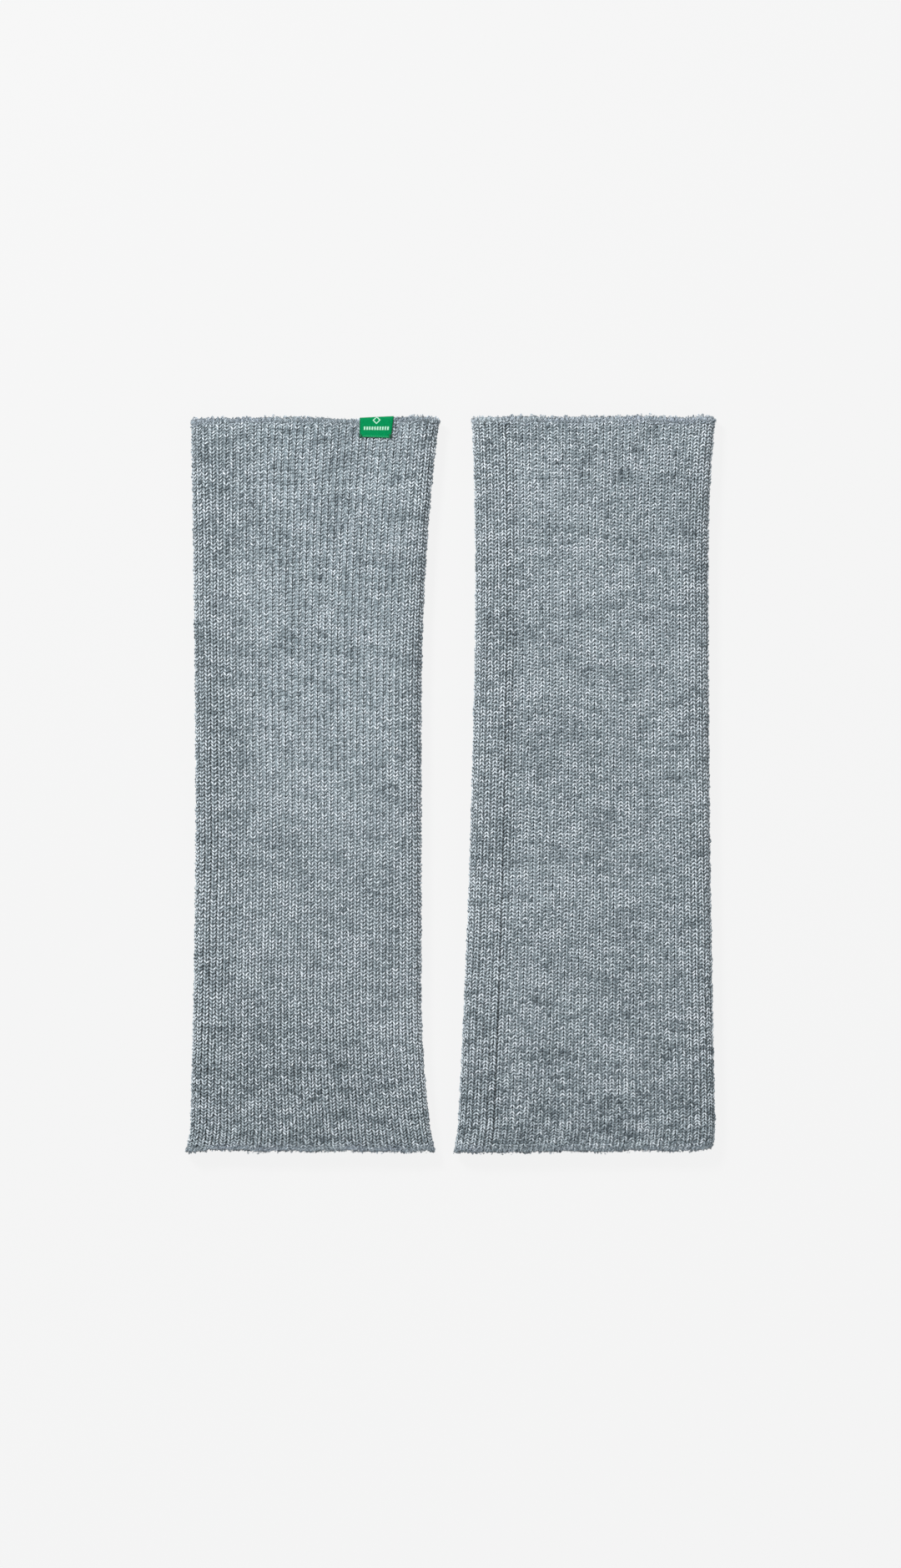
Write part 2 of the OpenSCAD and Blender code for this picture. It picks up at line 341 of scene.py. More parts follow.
def laid_stitches(glove, name, shape, ribs, rows, hands, shift, inside=False, purl=False):
    """Copies of a yarn segment for each rib, course and hand given, in as many pieces as they need.

    Purls lie looser than legs, and sink and take painted shade where the ribs stand open.
    """
    # light raises the crest value of every point: painted light, a little stronger on purls than on legs
    loose, light = (1.8, 1.1) if purl else (1.0, 1.05)
    side, way = glove["side"], glove["way"]
    column, row, hand = (g.ravel() for g in np.meshgrid(ribs, rows, hands, indexing="ij"))
    y = courses_of(glove, row)
    pitch = rib_pitch(glove, y)
    wander = glove["wander"][row, column % glove["ribs"]]
    tone = glove["tone"][row, column % glove["ribs"]]
    count = len(y)
    s = (column + shift) * pitch + wander + rng.normal(0, 0.05 * loose, count)
    lie = np.clip(rng.normal(0, 0.1, count), -0.2, 0.3) + 0.2 * in_band(glove, y)
    wide = np.ones(count)
    opened = openness(glove, s, y)
    shaded = 0.0
    if purl:
        lie = lie + opened + 0.3 * np.clip(opened - 0.5, 0, 1)
        # painted shade: purls are darkened where the grooves stand open
        shaded = 3.4 * np.clip(opened - 0.3, 0, 1)
    else:
        wide += 0.2 * opened
    mottling = MOTTLED[side] * (tone + rng.normal(0, 0.95, count))
    # painted light on the yarn near the folds
    tone = mottling + drift(glove, y) + painted_fold_light(glove, s, y) - shaded
    y = y + glove["stray"][row, column % glove["ribs"]] + rng.normal(0, 0.11 * loose, count)
    turn = rng.normal(0, 0.13 * loose, count)
    size = (1 + rng.normal(0, 0.08, count)) * pitch / YARN_PITCH
    made = []
    parts = max(1, math.ceil(count * len(shape[1]) / FACE_TRIS))
    points, faces, uvs = shape
    if inside:
        points = points * (1, 1, -1)
        lie = WALL - lie
    for i, span in enumerate(np.array_split(np.arange(count), parts)):
        found = scatter(glove, (points, faces, uvs), s[span], y[span], lie[span], turn[span],
                        size[span], hand[span], way, wide[span])
        # crest: painted shade that darkens each point of the segment by how deep it sinks
        values = {"tone": np.repeat(tone[span], len(points)),
                  "crest": np.tile(np.clip(light - shape[0][:, 2] / 0.85, 0, 1), len(span))}
        made.append(piece(f"{side}_{name}_{i + 1}", found[0], found[1], LOOK["yarn"], f"{side}_glove",
                          found[2], values))
    return made


def stitches(glove, name, shape, ribs, rows, inside=False):
    """Two legs for each stitch of those ribs and courses."""
    return laid_stitches(glove, name, shape, ribs, rows, [-1.0, 1.0], 0 if inside else 0.5, inside)


def purls(glove, name, ribs, rows):
    """The backs of purl loops in the grooves between those ribs."""
    return laid_stitches(glove, name, PURL, ribs, rows, [1.0], 0, purl=True)


def fabric(glove):
    """The knitted tube under its stitches: a closed shell, grooved between the ribs, with a ridge inside."""
    side, ribs = glove["side"], glove["ribs"]
    per_rib = 6
    low, high = glove["bottom"], glove["top"]
    outer = np.linspace(low + BAND, high - BAND, 92)
    inner = np.linspace(high - BAND, low + BAND, 50)
    rings = [(low + EDGE, 0.9, 0.2), (low + 1.6, 0.75, 0.3)]
    rings += [(y, 1.0, 1.0) for y in outer]
    rings += [(high - 1.6, 0.75, 0.3), (high - EDGE, 0.9, 0.2), (high - EDGE, 1.7, -0.1)]
    rings += [(y, WALL - 0.5, -0.5) for y in inner] + [(low + EDGE, 1.7, -0.1)]
    y = np.array([r[0] for r in rings])[:, None]
    depth = np.array([r[1] for r in rings])[:, None]
    deep = np.array([r[2] for r in rings])[:, None]
    column = np.arange(ribs * per_rib)[None, :] / per_rib
    phase = column % 1
    pitch = rib_pitch(glove, y)
    opened = openness(glove, column * pitch, y)
    groove = np.cos(TURN * phase) ** 2 * (np.cos(TURN * phase) > 0.4)
    pit = 0.3 * (np.abs(phase - 0.5) < 0.1)
    sunk = depth + np.where(deep > 0, deep * (groove * (1.1 * opened - 0.15) + pit),
                            deep * 0.5 * np.cos(TURN * phase))
    row = np.clip(((y - low) / (high - low) * glove["courses"]).astype(int), 0, glove["courses"] - 1)
    wander = glove["wander"][row, column.astype(int) % ribs]
    points = on_glove(glove, column * pitch + wander, y + 0 * column, sunk)
    # crest: painted shade on the fabric, darker where it sinks deeper, in grooves that stand open and in the
    # pit under each V's centre
    crest = np.clip(0.7 - 0.4 * (sunk - 0.9) - 1.5 * groove * opened - 1.5 * pit, 0.05, 1) + 0 * sunk
    tall, wide = points.shape[:2]
    here = np.arange(wide)
    rows = np.arange(tall)[:, None]
    after, beside = (rows + 1) % tall, (here + 1) % wide
    faces = np.stack(np.broadcast_arrays(rows * wide + here, rows * wide + beside, after * wide + beside,
                                         after * wide + here), axis=-1).reshape(-1, 4)
    course = (y - low) / (high - low) * glove["courses"] + 0 * column
    u = np.stack(np.broadcast_arrays(here / per_rib, (here + 1) / per_rib, (here + 1) / per_rib,
                                     here / per_rib), axis=-1)
    v = np.stack([course[rows[:, 0]], course[rows[:, 0]], course[after[:, 0]], course[after[:, 0]]],
                 axis=-1)
    uvs = np.stack([np.broadcast_to(u[None], v.shape), v], axis=-1).reshape(-1, 2)
    grid = np.clip(course.astype(int), 0, glove["courses"] - 1)
    cloud = glove["clouds"][grid, (column.astype(int) + 0 * grid) % ribs]
    values = {"tone": 0.25 * cloud + drift(glove, y), "crest": crest}
    return piece(f"{side}_knit_fabric", points.reshape(-1, 3), faces, LOOK["ground"], f"{side}_glove",
                 uvs, values)


def openness(glove, s, y):
    """From 0 to 1, how far the grooves between the ribs stand open."""
    way = half_round(glove, y)
    around = (np.abs((s + way) % (2 * way) - way)) / way
    hand = np.where((s + way) % (2 * way) - way < 0, -1, 1)
    down = (glove["top"] - y) / (glove["top"] - glove["bottom"])
    if glove["side"] == "left":
        open_left = np.clip(0.3 + 0.9 * down, 0, 1) * np.clip(around * 3 - 0.5, 0, 1) * (hand < 0)
        low_part = np.clip(down * 1.8 - 0.7, 0, 1) * 0.5
        open_right = np.clip(around * 5 - 1.7, 0, 1) * 0.8 * (hand > 0)
        return np.maximum(np.maximum(open_left, low_part), open_right)
    wide = np.interp(y, glove["y"], glove["high"]) - np.interp(y, glove["y"], glove["low"])
    from_ridge = (s + way) % (2 * way) - way + wide / 2 - SEAM_IN - RIDGE_IN
    over_seam = 0.6 * np.exp(-(from_ridge / 2.4) ** 2)
    return np.minimum(0.15 + np.clip(around * 6 - 2.1, 0, 1) * 0.5 + 0.1 * down + over_seam, 1)


# ---------------------------------------------------------------- threads

def transported(centres):
    """Two directions across a path at each of its points, turning as little as they can."""
    run = np.gradient(centres, axis=0)
    run /= np.linalg.norm(run, axis=1)[:, None] + 1e-12
    side = np.cross(run[0], (0.31, 0.42, 0.85))
    side /= np.linalg.norm(side)
    sides = [side]
    for t in run[1:]:
        side = side - t * (side @ t)
        side = side / (math.sqrt(side @ side) + 1e-12)
        sides.append(side)
    sides = np.array(sides)
    return sides, np.cross(run, sides)


def strand(centres, radius, around=6, turns=1.0):
    """A round thread along points in mm: points, quads and corner UVs, with its tips narrowed but left open.
    """
    side, up = transported(centres)
    count = len(centres)
    radius = np.broadcast_to(radius, count).copy()
    radius[[0, -1]] *= 0.15
    angle = np.arange(around) * TURN / around
    rings = centres[:, None] + radius[:, None, None] * (
        np.cos(angle)[None, :, None] * side[:, None] + np.sin(angle)[None, :, None] * up[:, None])
    here = np.arange(around)
    rows = np.arange(count - 1)[:, None] * around
    beside = (here + 1) % around
    faces = np.stack([rows + here, rows + beside, rows + around + beside, rows + around + here],
                     axis=-1).reshape(-1, 4)
    length = np.concatenate([[0], np.cumsum(np.linalg.norm(np.diff(centres, axis=0), axis=1))]) * turns
    u0, u1 = here / around, (here + 1) / around
    v0, v1 = length[:-1, None], length[1:, None]
    uvs = np.stack([np.stack(np.broadcast_arrays(u0, v0), -1), np.stack(np.broadcast_arrays(u1, v0), -1),
                    np.stack(np.broadcast_arrays(u1, v1), -1), np.stack(np.broadcast_arrays(u0, v1), -1)],
                   axis=2).reshape(-1, 2)
    return rings.reshape(-1, 3), faces, uvs


def joined(parts):
    """Several (points, faces, uvs) as one."""
    points, faces, uvs, offset = [], [], [], 0
    for p, f, uv in parts:
        points.append(p)
        faces.append(f + offset)
        uvs.append(uv)
        offset += len(p)
    return np.concatenate(points), np.concatenate(faces), np.concatenate(uvs)


def round_the_end(glove, end, way, stitch, steps, wave, radius, offset=0.0, lean=1.0):
    """A thread that repeats wave all round an end. wave turns shares into (ahead, in from end, sunk)."""
    length = 2 * float(half_round(glove, end))
    count = round(length / stitch)
    share = np.tile(np.arange(steps) / steps, count)
    number = np.repeat(np.arange(count), steps)
    ahead, inwards, sunk = wave(share)
    loose = rng.normal(0, 1, (4, count))[:, number]
    hump = np.sin(math.pi * share)
    s = lean * (number + offset + ahead) * length / count + 0.4 * loose[0] * hump
    inwards = inwards * (1 + 0.12 * loose[3]) + 0.3 * loose[1] * hump
    depth = sunk + 0.1 * loose[2] * hump
    centres = on_glove(glove, s, end - way * inwards, depth)
    points, faces, uvs = strand(centres, radius * (1 + 0.15 * np.sin(number * 1.7 + share * 6)))
    around = len(points) // len(centres)
    # crest: painted shade on the threads, darker the deeper they sink from either face
    face_depth = np.minimum(depth, WALL - depth)
    crest = np.clip(1.05 - 1.0 * face_depth, 0.1, 1)
    tone = 0.8 * loose[2] + drift(glove, end)
    return points, faces, uvs, np.repeat(tone, around), np.repeat(crest, around)


def needle_wave(t):
    return t, 3.0 + 0.25 * np.sin(TURN * t), 0.42 + 0.75 * np.abs(np.cos(math.pi * t)) ** 4


def outer_wave(t):
    """Up from the needle line to the edge, a turn round it, and back."""
    reach = np.sin(math.pi * t) ** 0.8
    edge = np.clip((reach - 0.86) / 0.14, 0, 1)
    ahead = t + 0.3 * np.sin(TURN * t)
    dips = 0.45 * np.cos(math.pi * t) ** 6 + 0.3 * np.abs(np.cos(TURN * t)) ** 4
    return ahead, 2.8 - 2.6 * reach - 0.1 * edge, 0.28 + dips + 0.6 * edge


def inner_wave(t):
    ahead, inwards, sunk = outer_wave(t)
    return ahead, inwards, WALL - sunk


def covered(made, *nodes):
    """Hides the CAD nodes that a piece stands for, and gives back the piece."""
    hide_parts(*nodes)
    return made


def overlock(glove, way):
    """The three threads round one end, and the loops of yarn that stand out of its edge."""
    side = glove["side"]
    end = glove["top"] if way > 0 else glove["bottom"]
    where = f"{side}_hand_end" if HAND_END[side] == way else f"{side}_arm_end"
    made = []
    plans = (("needle_thread", 2.3, 8, needle_wave, ((0, 1),), 0.24),
             ("outer_looper_thread", 2.5, 16, outer_wave, ((0, 1), (0.4, -1), (0.6, 1), (0.9, -1)), 0.18),
             ("inner_looper_thread", 2.7, 12, inner_wave, ((0, 1), (0.5, -1)), 0.28))
    for name, stitch, steps, wave, plies, radius in plans:
        parts = [round_the_end(glove, end, way, stitch, steps, wave, radius, *ply) for ply in plies]
        points, faces, uvs = joined([part[:3] for part in parts])
        values = {"tone": np.concatenate([part[3] for part in parts]),
                  "crest": np.concatenate([part[4] for part in parts])}
        thread = piece(f"{where}_{name}_stitches", points, faces, LOOK["thread"], f"{side}_glove",
                       uvs, values)
        made.append(covered(thread, f"{where}_{name}"))
    made.append(edge_loops(glove, end, way, where))
    return made


def loop_path(t):
    """A small loop that leaves the edge and comes back to it."""
    turn = math.pi * (0.05 + 0.9 * t)
    return 0.26 * np.cos(turn), 0.95 * np.sin(turn) - 0.45, 0.25 * np.sin(2 * turn)


def edge_loops(glove, end, way, where):
    """Small loops of yarn of many sizes that stand out of a cut edge between its threads."""
    shape = grain(5, np.array([0.05, 0.2, 0.35, 0.5, 0.65, 0.8, 0.95]), loop_path, lambda t: 0.16, 1.0)
    length = 2 * float(half_round(glove, end))
    count = int(length / LOOP_EVERY)
    s = np.arange(count) * length / count + rng.normal(0, 0.25, count)
    y = end - way * (0.1 + rng.normal(0, 0.38, count))
    sunk = rng.uniform(0.3, WALL - 0.3, count)
    turn = rng.normal(0, 0.5, count)
    size = (0.45 + 0.75 * rng.random(count) ** 2) * np.where((way > 0) & (s > 15), 1.35, 1.0)
    hand = np.where(rng.random(count) < 0.5, -1.0, 1.0)
    points, faces, uvs = scatter(glove, shape, s, y, sunk, turn, size, hand, way)
    each = len(shape[0])
    tone = np.repeat(rng.normal(0, 0.7, count), each) + drift(glove, end)
    # a constant crest value: even painted shade over all the loops
    values = {"tone": tone, "crest": np.full(len(points), 0.7)}
    return piece(f"{where}_edge_loops", points, faces, LOOK["thread"], f"{glove['side']}_glove",
                 uvs, values)


def hair_path(t):
    """A stray fibre that lifts off the face and curls back."""
    return 0.25 * np.sin(2.5 * t), 1.5 * t - 0.75, 0.3 - 0.42 * np.sin(math.pi * t)


def fuzz(glove):
    """Stray wool fibres over the whole glove, thicker along its ends."""
    shape = grain(3, np.array([0.05, 0.35, 0.65, 0.95]), hair_path, lambda t: 0.03, 1.0)
    s = rng.uniform(-1, 1, FIBRES) * half_round(glove, 0.0)
    y = rng.uniform(glove["bottom"] + 0.5, glove["top"] - 0.5, FIBRES)
    y[:FIBRES_AT_END] = glove["top"] - np.abs(rng.normal(0, 1.2, FIBRES_AT_END))
    y[FIBRES_AT_END:2 * FIBRES_AT_END] = glove["bottom"] + np.abs(rng.normal(0, 1.2, FIBRES_AT_END))
    turn = rng.uniform(-math.pi, math.pi, FIBRES)
    size = rng.uniform(0.5, 1.3, FIBRES)
    sunk = rng.uniform(0.0, 0.25, FIBRES)
    points, faces, uvs = scatter(glove, shape, s, y, sunk, turn, size, np.ones(FIBRES), 1)
    values = {"tone": np.repeat(rng.normal(2, 1, FIBRES), len(shape[0])), "crest": np.ones(len(points))}
    return piece(f"{glove['side']}_fuzz", points, faces, LOOK["yarn"], f"{glove['side']}_glove",
                 uvs, values)


# ---------------------------------------------------------------- the seam inside

def seam_line(glove, across, height, places):
    """Points at that distance from the seam's foot and height over the ground, along a glove."""
    foot = np.interp(places, glove["y"], glove["low"]) + SEAM_IN
    return np.stack(np.broadcast_arrays(foot + across, places, height), axis=-1)


def seam(glove):
    """The ridge of turned-in edges along the inside of the underside, and its three threads."""
    side = glove["side"]
    near, far = (v.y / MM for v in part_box(f"{side}_seam_needle_thread"))
    floor = WALL - 0.3
    profile = np.array([(-0.2, 0), (0.25, 1.4), (0.9, 1.95), (1.9, 1.75), (3.2, 1.9), (4.3, 1.7),
                        (4.9, 1.2), (5.15, 0)])
    places = np.linspace(near, far, 210)
    lumps = 0.12 * np.sin(places * 3.8)[:, None] * np.sin(profile[None, :, 0] * 2)
    rings = seam_line(glove, profile[None, :, 0] + lumps, floor + profile[None, :, 1] + lumps,
                      places[:, None])
    tall, wide = rings.shape[:2]
    rows, here = np.arange(tall - 1)[:, None] * wide, np.arange(wide)
    beside = (here + 1) % wide
    faces = np.stack([rows + here, rows + beside, rows + wide + beside, rows + wide + here],
                     axis=-1).reshape(-1, 4)
    last = (tall - 1) * wide
    near_caps = [(0, i + 2, i + 1, i) for i in range(1, wide - 1, 2)]
    far_caps = [(last, last + i, last + i + 1, last + i + 2) for i in range(1, wide - 1, 2)]
    faces = np.concatenate([faces, np.array(near_caps + far_caps)])
    uvs = np.zeros((faces.size, 2))
    # a constant crest value: even painted shade over the seam allowance
    values = {"tone": np.zeros(rings.size // 3), "crest": np.full(rings.size // 3, 0.7)}
    made = [piece(f"{side}_seam_allowance", rings.reshape(-1, 3), faces, LOOK["yarn"], f"{side}_glove",
                  uvs, values)]
    count = int((far - near) / SEAM_STITCH)
    share = np.tile(np.arange(10) / 10, count)
    along = near + (np.repeat(np.arange(count), 10) + share + 0.2 * np.sin(TURN * share)) * (
        (far - near) / count)
    reach = np.sin(math.pi * share)
    lines = {
        "needle": (1.2 + 0.1 * reach, WALL + 2.25 - 0.7 * (1 - reach) ** 2),
        "upper_looper": (1.4 + 3.5 * reach, WALL + 2.0 - 0.6 * np.clip(reach - 0.8, 0, 1) * 3),
        "lower_looper": (5.45 - 0.3 * reach, WALL + 0.5 + 0.8 * reach),
    }
    for name, (across, height) in lines.items():
        node = f"{side}_seam_{name}_thread"
        points, faces, uvs = strand(seam_line(glove, across, height, along), 0.27, 5)
        # a constant crest value: even painted shade over the seam's threads
        values = {"tone": np.zeros(len(points)), "crest": np.full(len(points), 0.8)}
        made.append(covered(piece(f"{node}_stitches", points, faces, LOOK["thread"], f"{side}_glove",
                                  uvs, values), node))
    return made


# ---------------------------------------------------------------- the label

def label():
    """A woven strip folded over the left glove's upper rim, a little askew and wider at the rim."""
    low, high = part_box("woven_label")
    west, east = low.x / MM, high.x / MM
    foot, rim = low.y / MM - 0.3, high.y / MM
    over, under = high.z / MM - 0.32, low.z / MM + 0.2
    bend = (over - under) / 2
    turn = rim - 1.2 - bend
    arc = [(turn + bend * math.sin(a), (over + under) / 2 + bend * math.cos(a))
           for a in np.linspace(0, math.pi, 18)]
    path = [(y, over) for y in np.linspace(foot, turn, 36)[:-1]] + arc
    path += [(y, under) for y in np.linspace(turn, foot + 0.4, 24)[1:]]
    path = np.array(path)
    normal = np.gradient(path, axis=0)
    normal = np.stack([-normal[:, 1], normal[:, 0]], axis=-1)
    normal /= np.linalg.norm(normal, axis=1)[:, None]
    cols = 48
    share = np.linspace(0, 1, cols)
    up = np.clip((path[:, 0] - foot) / (rim - foot), 0, 1)
    sheets = []
    for layer in (1, -1):
        line = path + normal * 0.17 * layer
        left = west - 0.05 + 0 * up
        right = east - 0.6 + 1.35 * up
        x = left[:, None] + (right - left)[:, None] * share[None]
        y = line[:, 0][:, None] + 0.95 * (share[None] - 0.5) * up[:, None] ** 2
        y = y - 0.5 * share[None] * (1 - up[:, None]) ** 2
        height = line[:, 1][:, None]
        z = height - 0.22 * np.abs(2 * share[None] - 1) ** 5 * (height > bend + under)
        z = (z + 0.05 * np.sin(x * 2.1 + y * 0.6)) * (1 - sag(x, y) / LAY)
        sheets.append(np.stack(np.broadcast_arrays(x, y, z), axis=-1))
    tall = len(path)
    points = np.concatenate([s.reshape(-1, 3) for s in sheets])
    grid = np.arange(tall * cols).reshape(tall, cols)
    outer = np.stack([grid[:-1, :-1], grid[:-1, 1:], grid[1:, 1:], grid[1:, :-1]], -1).reshape(-1, 4)
    inner = outer[:, ::-1] + tall * cols
    edge = np.concatenate([grid[0, :], grid[1:, -1], grid[-1, ::-1][1:], grid[::-1, 0][1:-1]])
    ahead = np.roll(edge, -1)
    rim_faces = np.stack([ahead, edge, edge + tall * cols, ahead + tall * cols], -1)
    faces = np.concatenate([outer, inner, rim_faces])
    run = np.concatenate([[0], np.cumsum(np.linalg.norm(np.diff(path, axis=0), axis=1))])
    u = np.tile(share * (east - west), (tall, 1)).ravel()
    v = np.repeat(run, cols)
    spot = np.concatenate([np.stack([u, v], -1)] * 2)
    strip = piece("folded_woven_label", points, faces, LOOK["label"], "left_glove",
                  spot[faces.ravel()])
    covered(strip, "woven_label")
    return strip


def tacks():
    """Short wraps of dark thread over the label's two lower corners."""
    low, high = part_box("label_tack_stitches")
    parts = []
    for corner in (low.x / MM + 0.1, high.x / MM - 0.6):
        for i in range(4):
            x = corner + 0.13 * i * (1 if corner < (low.x + high.x) / 2 / MM else -1)
            y0 = low.y / MM - 1.25 + 0.15 * math.sin(i * 2.3)
            for top in (high.z / MM - 0.75, low.z / MM + 0.3):
                t = np.linspace(0, 1, 9)
                lift = 0.24 * np.sin(math.pi * t)
                centres = np.stack([x + 0.08 * np.sin(3 * t + i), y0 + 1.9 * t,
                                    top + (lift if top > HALF else -lift)], axis=-1)
                parts.append(strand(centres, 0.15, 6))
    points, faces, uvs = joined(parts)
    values = {"tone": np.zeros(len(points)), "crest": np.ones(len(points))}
    made = piece("label_tacks", points, faces, LOOK["tack"], "left_glove", uvs, values)
    return covered(made, "label_tack_stitches")


# ---------------------------------------------------------------- materials

class Tree:
    """Short ways to add nodes to a material."""

    def __init__(self, name):
        self.material = bpy.data.materials.new(name)
        self.material.use_nodes = True
        self.nodes = self.material.node_tree.nodes
        self.links = self.material.node_tree.links
        self.shader = self.nodes["Principled BSDF"]

    def put(self, socket, value):
        if isinstance(value, bpy.types.NodeSocket):
            self.links.new(value, socket)
        else:
            socket.default_value = value

    def maths(self, operation, a, b=0.0, c=0.0):
        """The operation on up to three numbers or sockets."""
        node = self.nodes.new("ShaderNodeMath")
        node.operation = operation
        for socket, value in zip(node.inputs, (a, b, c)):
            self.put(socket, value)
        return node.outputs[0]

    def held(self, value):
        """The value kept from 0 to 1."""
        node = self.nodes.new("ShaderNodeClamp")
        self.put(node.inputs["Value"], value)
        return node.outputs[0]

    def attribute(self, name):
        node = self.nodes.new("ShaderNodeAttribute")
        node.attribute_name = name
        return node.outputs["Fac"]

    def noise(self, scale, detail, stretch=(1, 1, 1)):
        """Noise with features of about that many mm, longer by stretch, from -0.5 to 0.5."""
        where = self.nodes.new("ShaderNodeTexCoord").outputs["Object"]
        mapped = self.nodes.new("ShaderNodeMapping")
        mapped.inputs["Scale"].default_value = [1 / (MM * scale * k) for k in stretch]
        self.links.new(where, mapped.inputs["Vector"])
        node = self.nodes.new("ShaderNodeTexNoise")
        node.inputs["Scale"].default_value = 1.0
        node.inputs["Detail"].default_value = detail
        self.links.new(mapped.outputs["Vector"], node.inputs["Vector"])
        return self.maths("SUBTRACT", node.outputs["Fac"], 0.5)

    def wave(self, value, length=1.0):
        """A sine of that wavelength."""
        return self.maths("SINE", self.maths("MULTIPLY", value, TURN / length))

    def fibres(self, around, along, pace, island):
        """Fine streaks that run along the yarn and wind round it, from -0.5 to 0.5."""
        where = self.nodes.new("ShaderNodeCombineXYZ")
        run = self.maths("MULTIPLY", along, pace)
        self.put(where.inputs[0], self.maths("MULTIPLY_ADD", around, 11.0, run))
        self.put(where.inputs[1], run)
        self.put(where.inputs[2], self.maths("MULTIPLY", island, 50.0))
        node = self.nodes.new("ShaderNodeTexNoise")
        node.inputs["Scale"].default_value = 1.0
        node.inputs["Detail"].default_value = 4
        self.links.new(where.outputs[0], node.inputs["Vector"])
        return self.maths("SUBTRACT", node.outputs["Fac"], 0.5)

    def yarn_uv(self):
        """The share of the way round the yarn, and the place along it."""
        node = self.nodes.new("ShaderNodeUVMap")
        node.uv_map = "yarn"
        split = self.nodes.new("ShaderNodeSeparateXYZ")
        self.links.new(node.outputs["UV"], split.inputs[0])
        return split.outputs[0], split.outputs[1]

    def ramp(self, value, stops):
        """The colour at that value on a ramp of (place, colour) stops."""
        node = self.nodes.new("ShaderNodeValToRGB")
        ramp = node.color_ramp
        while len(ramp.elements) < len(stops):
            ramp.elements.new(0.5)
        for element, (place, colour) in zip(ramp.elements, stops):
            element.position = place
            element.color = (*colour, 1)
        self.links.new(value, node.inputs["Fac"])
        return node.outputs["Color"]

    def mixed(self, factor, a, b, blend="MIX"):
        """Colour b over colour a by factor."""
        node = self.nodes.new("ShaderNodeMix")
        node.data_type = "RGBA"
        node.blend_type = blend
        self.put(node.inputs[0], factor)
        self.put(node.inputs[6], a)
        self.put(node.inputs[7], b)
        return node.outputs[2]

    def shaded(self, colour, shade):
        """The colour darkened by a number from 0 to 1."""
        grey = self.nodes.new("ShaderNodeCombineColor")
        for socket in grey.inputs:
            self.put(socket, shade)
        return self.mixed(1.0, colour, grey.outputs[0], "MULTIPLY")

    def bump(self, height, strength, distance):
        """Relief, with its distance in mm."""
        node = self.nodes.new("ShaderNodeBump")
        node.inputs["Strength"].default_value = strength
        node.inputs["Distance"].default_value = distance * MM
        self.links.new(height, node.inputs["Height"])
        self.links.new(node.outputs["Normal"], self.shader.inputs["Normal"])

    def finish(self, colour, roughness, sheen, specular=0.3, tint=(1, 1, 1)):
        """Sets the shader and gives the material."""
        self.put(self.shader.inputs["Base Color"], colour)
        self.put(self.shader.inputs["Roughness"], roughness)
        self.shader.inputs["Sheen Weight"].default_value = sheen
        self.shader.inputs["Sheen Roughness"].default_value = 0.45
        self.shader.inputs["Sheen Tint"].default_value = (*tint, 1)
        self.shader.inputs["Specular IOR Level"].default_value = specular
        return self.material


def srgb(*bytes_):
    """A colour given in 0 to 255 as Blender's linear values."""
    return tuple((c / 255 / 12.92) if c < 11 else ((c / 255 + 0.055) / 1.055) ** 2.4 for c in bytes_)


WOOL = [(0, srgb(64, 77, 84)), (0.25, srgb(120, 134, 141)), (0.5, srgb(172, 186, 192)),
        (0.75, srgb(212, 224, 230)), (1, srgb(238, 247, 252))]   # the melange, from dark to pale fibres


def yarn_look(name, level, random_share, painted_shade_floor, tint, pace):
    """Spun melange yarn: tone along the yarn, each leg a little different, fibres and a soft twist, with
    painted shade that darkens it away from the crests of its segments.
    """
    t = Tree(name)
    island = t.nodes.new("ShaderNodeNewGeometry").outputs["Random Per Island"]
    around, along = t.yarn_uv()
    wound = t.maths("MULTIPLY_ADD", around, 2.0, t.maths("MULTIPLY", along, 2.4))
    wound = t.maths("ADD", wound, t.maths("MULTIPLY_ADD", t.noise(0.5, 2), 0.6, island))
    twist = t.wave(wound)
    fibre = t.fibres(around, along, pace, island)
    value = t.maths("MULTIPLY_ADD", t.attribute("tone"), 0.095, level)
    value = t.maths("MULTIPLY_ADD", t.maths("SUBTRACT", island, 0.5), random_share, value)
    value = t.maths("MULTIPLY_ADD", fibre, 0.75, value)
    value = t.maths("MULTIPLY_ADD", t.noise(0.6, 2), 0.35, value)
    value = t.maths("MULTIPLY_ADD", twist, 0.09, value)
    colour = t.ramp(value, WOOL)
    warm = t.maths("MULTIPLY_ADD", t.noise(7, 3, (1.6, 1, 1)), 2.0, 0.4)
    colour = t.mixed(t.held(warm), colour, (*tint, 1), "MULTIPLY")
    # painted shade: darkens the colour where the crest value is low, at the yarn's sunk sides and tips
    colour = t.shaded(colour, t.maths("MULTIPLY_ADD", t.attribute("crest"), 1 - painted_shade_floor, painted_shade_floor))
    t.bump(t.maths("MULTIPLY_ADD", twist, 0.5, fibre), 0.8, 0.12)
    rough = t.maths("MULTIPLY_ADD", fibre, 0.25, 0.82)
    return t.finish(colour, rough, 0.25, 0.25, (0.9, 0.95, 1.0))


